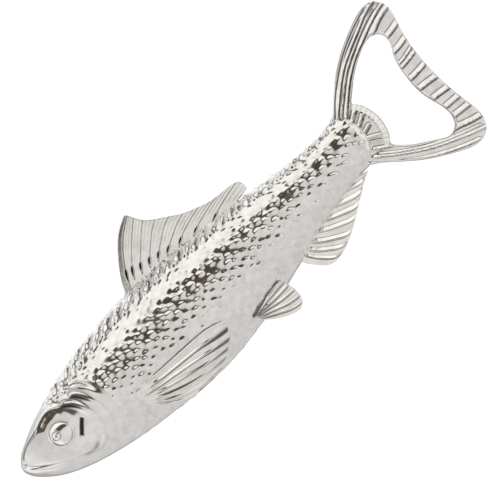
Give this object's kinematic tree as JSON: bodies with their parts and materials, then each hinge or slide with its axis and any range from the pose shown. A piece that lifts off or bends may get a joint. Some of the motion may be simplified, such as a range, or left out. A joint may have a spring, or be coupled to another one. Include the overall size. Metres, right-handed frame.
{
  "type": "bottle opener",
  "caption": "Fish-shaped bottle opener in bright plated metal: a hollow two-shell body with separate fins and eyes, and a solid tail whose loop and lip lift crown caps.",
  "frame": {"origin": "centre of the bounding box's footprint, at the height of the lowest point, with the fish lying on its right flank", "axes": "+X from the snout to the tail, +Y towards the dorsal fin, +Z out of the left flank"},
  "size_m": [0.1686, 0.0568, 0.023],
  "materials": {
    "body_metal": "bright nickel plate on a zinc casting",
    "tail_metal": "bright nickel plate, satin in the grooves",
    "fin_metal": "bright nickel plate, satin in the grooves",
    "eye_metal": "bright nickel plate",
    "pin_steel": "ground steel dowel"
  },
  "bodies": {
    "root": {"left_shell": "body_metal", "right_shell": "body_metal", "tail_opener": "tail_metal", "dorsal_fin": "fin_metal", "anal_fin": "fin_metal", "pectoral_fin_left": "fin_metal", "pectoral_fin_right": "fin_metal", "pelvic_fin_left": "fin_metal", "pelvic_fin_right": "fin_metal", "eye_left": "eye_metal", "eye_right": "eye_metal", "locating_pin_head": "pin_steel", "locating_pin_belly": "pin_steel", "dorsal_fin_pin": "pin_steel", "anal_fin_pin": "pin_steel", "tang_pin_front": "pin_steel", "tang_pin_rear": "pin_steel"}
  },
  "joints": []
}
